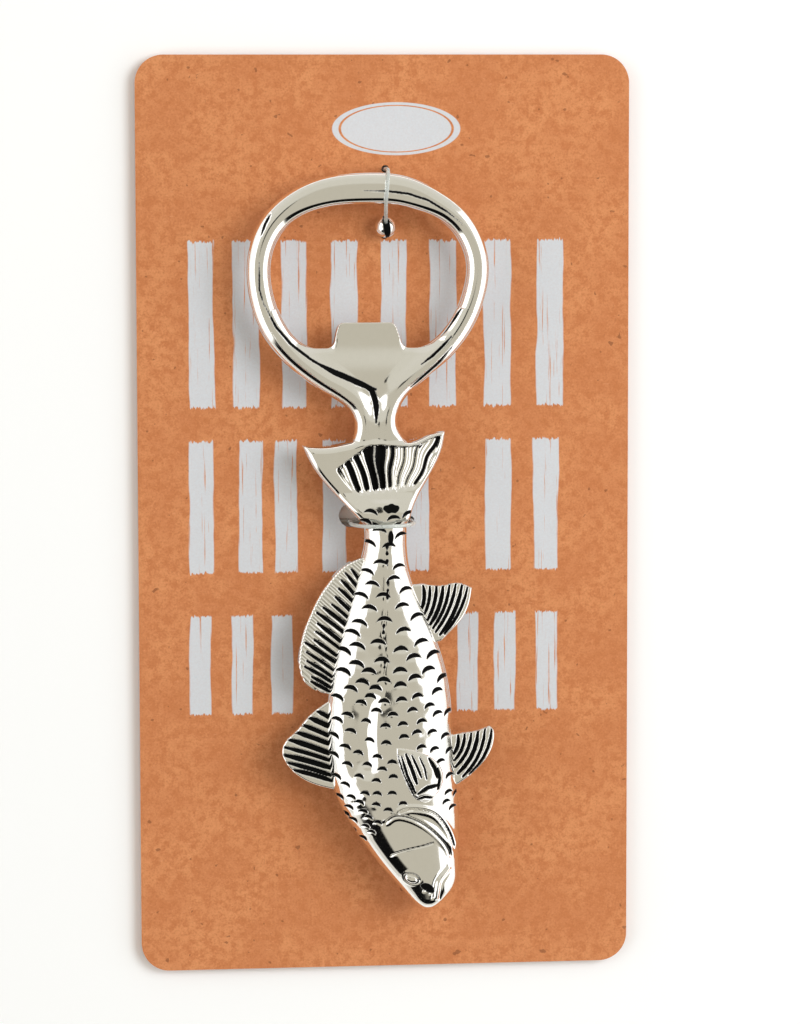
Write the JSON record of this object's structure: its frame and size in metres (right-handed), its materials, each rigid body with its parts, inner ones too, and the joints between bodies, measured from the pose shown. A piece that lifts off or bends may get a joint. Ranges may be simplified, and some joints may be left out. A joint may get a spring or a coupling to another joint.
{
  "type": "souvenir bottle opener",
  "caption": "Fish-shaped plated metal bottle opener with an egg-shaped ring and cap lifter at its tail, tied to a kraft backing card by clear filament ties, one threaded through a bead.",
  "frame": {"origin": "centre of the card's outline, at the height of the lowest point (the tie bars behind the card)", "axes": "+Z out of the card's printed face, +Y along the card towards the ring end, +X to the right seen from the front"},
  "size_m": [0.1016, 0.189, 0.0177],
  "materials": {
    "kraft_card": "matt orange-brown kraft board with a white dry-brushed print",
    "clear_tie": "clear moulded filament",
    "plated_metal": "polished plating over a casting, with black enamel in the recesses",
    "polished_steel": "polished bead"
  },
  "bodies": {
    "card": {"backing_card": "kraft_card", "tie_bar_ring_outer": "clear_tie", "tie_bar_ring_inner": "clear_tie", "tie_bar_tail_left": "clear_tie", "tie_bar_tail_right": "clear_tie"},
    "opener": {"ring_and_neck": "plated_metal", "cap_lifter": "plated_metal", "tail_fin": "plated_metal", "fish_body": "plated_metal", "dorsal_fin_rear": "plated_metal", "dorsal_fin_front": "plated_metal", "anal_fin": "plated_metal", "pelvic_fin": "plated_metal", "pectoral_fin_front": "plated_metal", "pectoral_fin_rear": "plated_metal", "eye_front": "plated_metal", "eye_rear": "plated_metal"},
    "ring_tie": {"tie_over_ring": "clear_tie"},
    "bead": {"bead": "polished_steel"},
    "tail_tie": {"tie_over_tail": "clear_tie"}
  },
  "joints": [
    {"name": "opener_lift", "type": "slide", "parent": "card", "child": "opener", "axis": [0, 0, 1], "range_m": [0, 0.05]},
    {"name": "ring_tie_pull", "type": "slide", "parent": "opener", "child": "ring_tie", "axis": [0, 0, 1], "range_m": [0, 0.02]},
    {"name": "bead_slide", "type": "slide", "parent": "ring_tie", "child": "bead", "axis": [-0.0801, 0.5506, 0.8309], "range_m": [0, 0.0022]},
    {"name": "tail_tie_pull", "type": "slide", "parent": "opener", "child": "tail_tie", "axis": [0, 0, 1], "range_m": [0, 0.02]}
  ]
}
